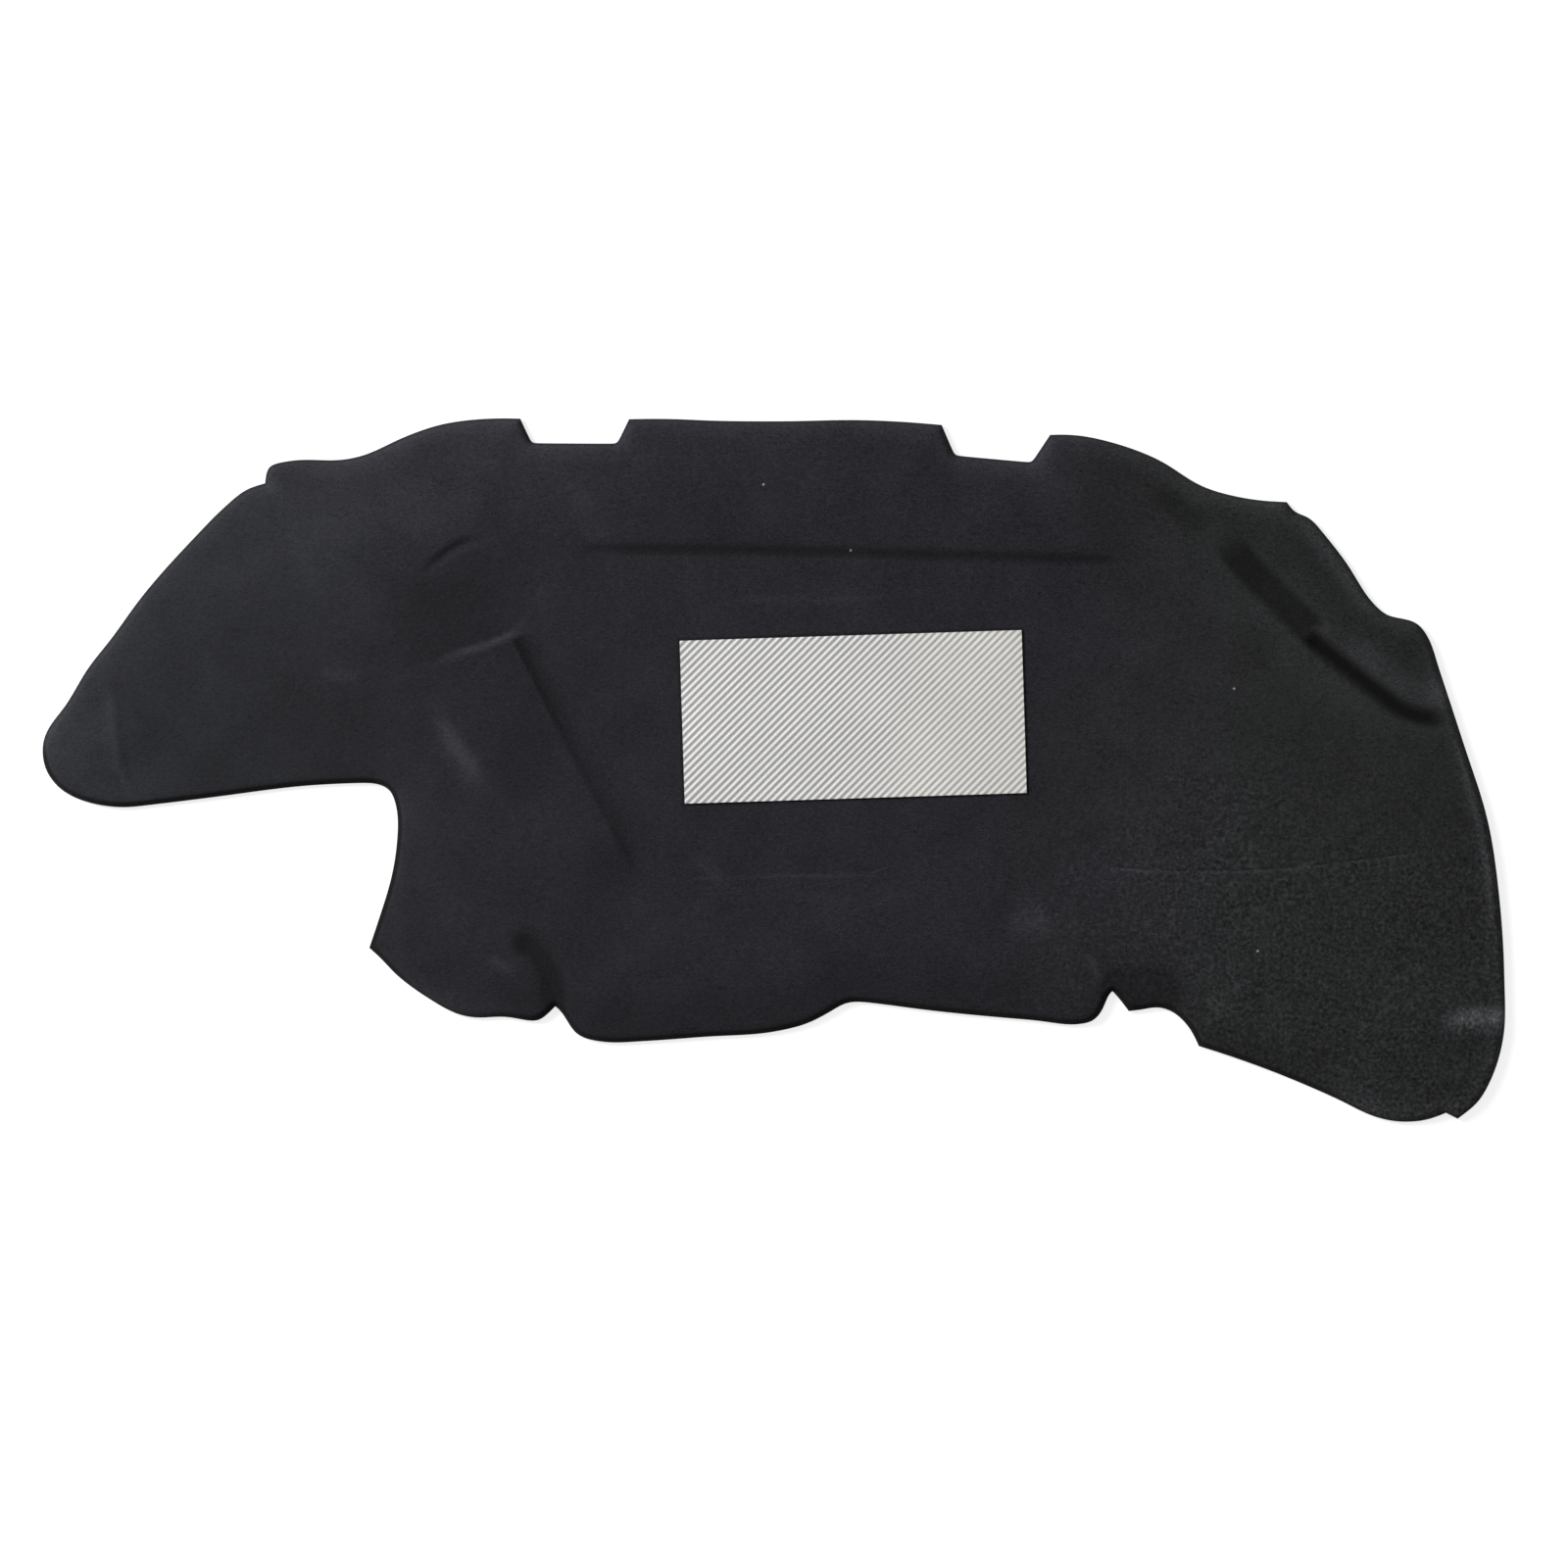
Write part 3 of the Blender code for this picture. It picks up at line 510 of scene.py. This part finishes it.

# How much darker the felt is painted where it is pressed, which is painted shade in the grooves as well as
# denser pressed felt, how much paler it is painted for dust, rubbed fibres and painted highlights, and the
# painted shade in the line around the patch's foot, which fades over these distances from it.
PRESSED_SHADE_DARKER = 0.90
RUB_AND_HIGHLIGHT_PALER = 1.2
PATCH_SHADE_DARKER = 0.50
PATCH_SHADE_FADE = (0.0012, 0.0034)
pressed_and_shade, rubbed_and_highlight, from_edge, at_rear = (
    spot.node("ShaderNodeAttribute", {"attribute_name": name}, {}, 2) for name in MARKS
)
centre = (*PATCH_MIDDLE, 0.0)
half_size = (PATCH_LENGTH / 2, PATCH_WIDTH / 2, 0.0)
outside = spot.turned(-PATCH_TURN, centre).vector("SUBTRACT", centre)
outside = outside.vector("ABSOLUTE").vector("SUBTRACT", half_size)
beside, beyond = outside.along_x_and_y()
patch_shade = 1.0 - beside.math("MAXIMUM", beside, beyond).ramp(*PATCH_SHADE_FADE)
tone = tone * (1.0 - PRESSED_SHADE_DARKER * pressed_and_shade) * (1.0 + RUB_AND_HIGHLIGHT_PALER * rubbed_and_highlight)
tone = tone * (1.0 - PATCH_SHADE_DARKER * patch_shade)

# The rim gets a painted highlight on its roll, more so on the right, except where it is sheltered, along the
# rear and below the left wing. The cut itself is a dark line of painted shade, wider where sheltered, and the
# rear gets painted shade too.
# All fade over these distances from the cut edge.
RIM_FADE = (0.001, 0.022)
CUT_FADE = (0.0005, 0.0036)
REAR_FADE = (0.010, 0.050)
BELOW_WING_X = (-0.29, -0.33)
BELOW_WING_Y = (0.030, 0.005)
RIM_RIGHT_X = (0.0, 0.4)
RIM_HIGHLIGHT = 0.38
RIM_HIGHLIGHT_ON_RIGHT = 0.30
CUT_SHADE_DARKER = 0.50
SHELTERED_CUT_SHADE_DARKER = 0.42
SHELTERED_CUT_WIDER = 0.0020
REAR_SHADE_DARKER = 0.16
DARKEST = 0.06
rim = 1.0 - from_edge.ramp(*RIM_FADE)
below_wing = x_place.ramp(*BELOW_WING_X) * y_place.ramp(*BELOW_WING_Y)
sheltered = at_rear.math("MAXIMUM", at_rear, below_wing)
cut_shade = 1.0 - (from_edge - SHELTERED_CUT_WIDER * sheltered).ramp(*CUT_FADE)
rim_highlight = RIM_HIGHLIGHT + RIM_HIGHLIGHT_ON_RIGHT * x_place.ramp(*RIM_RIGHT_X)
tone = tone * (1.0 + rim_highlight * rim * (1.0 - sheltered))
tone = tone * (1.0 - (CUT_SHADE_DARKER + SHELTERED_CUT_SHADE_DARKER * sheltered) * cut_shade)
tone = tone * (1.0 - REAR_SHADE_DARKER * at_rear * (1.0 - from_edge.ramp(*REAR_FADE)))
tone = tone.math("MAXIMUM", tone, DARKEST)

# The colours and the lint go on, and the fibres give the surface its fine relief.
LINT_WHITE = (0.40, 0.40, 0.38, 1.0)
LINT_FADE = (0.0003, 0.0014)
VIOLET_ALONG_X = (-0.35, 0.10)
NEUTRAL_ALONG_X = (0.20, 0.40)
FIBRE_RELIEF = 0.0012
flat_spot = spot.vector("MULTIPLY", (1.0, 1.0, 0.0))
lint = 0.0
for place in LINT:
    lint = lint + (1.0 - flat_spot.vector("DISTANCE", (*place, 0.0), 1).ramp(*LINT_FADE))
hue = spot.node("ShaderNodeRGB", {}, {})
hue.socket.default_value = FELT_COOL_AND_LIT
colour = hue.mixed(FELT_VIOLET, (x_place + 0.3 * cast).ramp(*VIOLET_ALONG_X))
colour = colour.mixed(FELT_NEUTRAL, (x_place + 0.3 * (cast - 0.5)).ramp(*NEUTRAL_ALONG_X))
colour = colour.scaled(tone).mixed(LINT_WHITE, lint)
height = fibres * (1 - 0.5 * right_end) + 0.6 * right_end * pebbles + 0.2 * grain
bump = spot.node("ShaderNodeBump", {}, {"Strength": 0.8, "Distance": FIBRE_RELIEF, "Height": height})
felt_shader.inputs["Roughness"].default_value = 0.95
felt_shader.inputs["Specular IOR Level"].default_value = 0.15
felt_shader.inputs["Sheen Weight"].default_value = 0.05
felt_shader.inputs["Sheen Roughness"].default_value = 0.6
felt.node_tree.links.new(colour.socket, felt_shader.inputs["Base Color"])
felt.node_tree.links.new(bump.socket, felt_shader.inputs["Normal"])
felt_mesh.materials.append(felt)
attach(felt_pad, "root")
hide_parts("felt_pad")

# The heat patch. A rectangle of ribbed aluminium foil is bonded to the flat panel, under the hottest part
# of the engine. Its ribs are rolled in before it is cut, so they run slanting out over its cut edges.
PATCH_BASE = 0.0081
FOIL_THICKNESS = 0.0008
RIB_PITCH = 0.0047
RIB_HEIGHT = 0.00111
RIB_DIRECTION = math.radians(45.0)
RIB_ROUND = 0.0011
ROUND_SEGMENTS = 4
SHARP_ANGLE = math.radians(40)

# The ribbed sheet is this much of the patch's length and width together, so that the patch can be cut out
# of it at a slant.
SHEET_SHARE = 0.75
reach = (PATCH_LENGTH + PATCH_WIDTH) * SHEET_SHARE
rib_rows = 2 * round(2 * reach / RIB_PITCH / 2)
bpy.ops.object.select_all(action="DESELECT")
bpy.ops.mesh.primitive_grid_add(x_subdivisions=1, y_subdivisions=rib_rows, size=1.0)
patch = bpy.context.active_object
patch.name = patch.data.name = "ribbed_patch"
bpy.ops.object.mode_set(mode="EDIT")
ribs = bmesh.from_edit_mesh(patch.data)
bpy.ops.transform.resize(value=(reach, rib_rows * RIB_PITCH / 2, 1.0), center_override=(0, 0, 0))
for vert in ribs.verts:
    vert.select_set(round(vert.co.y / (RIB_PITCH / 2)) % 2 == 1)
ribs.select_flush(True)
bmesh.update_edit_mesh(patch.data)
bpy.ops.transform.translate(value=(0, 0, RIB_HEIGHT))
bpy.ops.mesh.select_mode(type="EDGE")
bpy.ops.mesh.select_all(action="DESELECT")
for edge in ribs.edges:
    if abs(edge.verts[0].co.y - edge.verts[1].co.y) < RIB_PITCH / 4 and not edge.is_boundary:
        edge.select_set(True)
bmesh.update_edit_mesh(patch.data)
bpy.ops.mesh.bevel(offset=RIB_ROUND, segments=ROUND_SEGMENTS, affect="EDGES")
bpy.ops.mesh.select_all(action="SELECT")
bpy.ops.transform.rotate(value=PATCH_TURN - RIB_DIRECTION, orient_axis="Z", center_override=(0, 0, 0))
for sideways, size in (((1, 0, 0), PATCH_LENGTH), ((0, 1, 0), PATCH_WIDTH)):
    for sign in (1, -1):
        outward = sign * Vector(sideways)
        bpy.ops.mesh.select_all(action="SELECT")
        bpy.ops.mesh.bisect(plane_co=outward * size / 2, plane_no=outward, clear_outer=True)
bpy.ops.mesh.select_all(action="SELECT")
bpy.ops.mesh.extrude_region_move()
bpy.ops.transform.resize(value=(1.0, 1.0, 0.0), center_override=(0, 0, 0))
bpy.ops.transform.translate(value=(0, 0, -FOIL_THICKNESS))
bpy.ops.mesh.select_all(action="SELECT")
bpy.ops.mesh.normals_make_consistent(inside=False)
bpy.ops.transform.translate(value=(*PATCH_MIDDLE, PATCH_BASE + FOIL_THICKNESS))
bpy.ops.transform.rotate(value=-PATCH_TURN, orient_axis="Z", center_override=(*PATCH_MIDDLE, PATCH_BASE))
bpy.ops.object.mode_set(mode="OBJECT")
bpy.ops.object.shade_smooth_by_angle(angle=SHARP_ANGLE)

# The foil is a satin silver, a little warmer and duller on its right, with faint clouds and specks.
FOIL_SILVER = (0.716, 0.710, 0.704, 1.0)
FOIL_WARM = (0.785, 0.776, 0.745, 1.0)
WARM_ALONG_X = (0.05, 0.16)
CLOUD_SIZE = 0.080
SPECK_SIZE = 0.0022
SPECK_RELIEF = 0.0003
foil, foil_shader, spot = new_material("ribbed_foil")
x_place, _ = spot.along_x_and_y()
cloud = spot.noise(CLOUD_SIZE, 2.0, 0.5)
speckle = spot.noise(SPECK_SIZE, 2.0, 0.5)
rightward = (x_place + 0.10 * (cloud - 0.5)).ramp(*WARM_ALONG_X)
silver = spot.node("ShaderNodeRGB", {}, {})
silver.socket.default_value = FOIL_SILVER
colour = silver.mixed(FOIL_WARM, rightward).scaled(0.9 + 0.15 * cloud + 0.12 * (speckle - 0.5))
dullness = 0.62 + 0.20 * rightward
bump = spot.node("ShaderNodeBump", {}, {"Strength": 0.4, "Distance": SPECK_RELIEF, "Height": speckle})
foil_shader.inputs["Metallic"].default_value = 0.40
foil.node_tree.links.new(colour.socket, foil_shader.inputs["Base Color"])
foil.node_tree.links.new(dullness.socket, foil_shader.inputs["Roughness"])
foil.node_tree.links.new(bump.socket, foil_shader.inputs["Normal"])
patch.data.materials.append(foil)
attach(patch, "root")
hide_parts("heat_patch")

# The floor that the pad lies on: a plain white sheet, which stays white in the picture and keeps the
# pad's soft shadow.
FLOOR_SIZE = 30.0
FLOOR_DROP = 0.0005
FLOOR_GREY = (0.5, 0.5, 0.5, 1.0)
PLAIN_WHITE = (1.0, 1.0, 1.0, 1.0)
PAPER_GLOW = 0.75
bpy.ops.object.select_all(action="DESELECT")
bpy.ops.mesh.primitive_plane_add(size=FLOOR_SIZE, location=(0, 0, -FLOOR_DROP))
floor = bpy.context.active_object
floor.name = "floor"
bpy.ops.object.transform_apply(location=True, rotation=True, scale=True)
white, white_shader, spot = new_material("white_floor")
white_shader.inputs["Base Color"].default_value = FLOOR_GREY
white_shader.inputs["Roughness"].default_value = 0.9
white_shader.inputs["Specular IOR Level"].default_value = 0.0
white_shader.inputs["Emission Strength"].default_value = PAPER_GLOW
rays = spot.node("ShaderNodeLightPath", {}, {})
glow = rays.math("MAXIMUM", rays, Link(rays.socket.node.outputs["Is Glossy Ray"]))
glow = rays.math("MAXIMUM", glow, Link(rays.socket.node.outputs["Is Transmission Ray"]))
paper = spot.node("ShaderNodeRGB", {}, {})
paper.socket.default_value = PLAIN_WHITE
white.node_tree.links.new(paper.scaled(glow).socket, white_shader.inputs["Emission Color"])
floor.data.materials.append(white)

# The room: an even pale light from all sides, and one large soft lamp over the pad's left front corner.
ROOM_LIGHT = 0.28
LAMP_PLACE = Vector((-3.9, 2.15, 2.7))
LAMP_SIZE = 1.9
LAMP_POWER = 270.0
world = bpy.data.worlds.new("studio")
bpy.context.scene.world = world
world.use_nodes = True
background = world.node_tree.nodes["Background"]
background.inputs["Color"].default_value = PLAIN_WHITE
background.inputs["Strength"].default_value = ROOM_LIGHT
lamp_data = bpy.data.lights.new("soft_lamp", "AREA")
lamp_data.shape = "DISK"
lamp_data.size = LAMP_SIZE
lamp_data.energy = LAMP_POWER
lamp = bpy.data.objects.new("soft_lamp", lamp_data)
lamp.location = LAMP_PLACE
lamp.rotation_euler = (-LAMP_PLACE).to_track_quat("-Z", "Y").to_euler()
bpy.context.scene.collection.objects.link(lamp)

# The camera looks straight down from far above, as in the photograph.
CAMERA_HEIGHT = 6.0
PICTURE_WIDTH = 1.3405
PICTURE_MIDDLE = (0.00905, -0.0118)
SENSOR_WIDTH = 36.0
camera_data = bpy.data.cameras.new("camera")
camera_data.sensor_width = SENSOR_WIDTH
camera_data.lens = SENSOR_WIDTH * CAMERA_HEIGHT / PICTURE_WIDTH
camera = bpy.data.objects.new("camera", camera_data)
camera.location = (*PICTURE_MIDDLE, CAMERA_HEIGHT)
bpy.context.scene.collection.objects.link(camera)
bpy.context.scene.camera = camera
bpy.context.scene.view_settings.view_transform = "Standard"
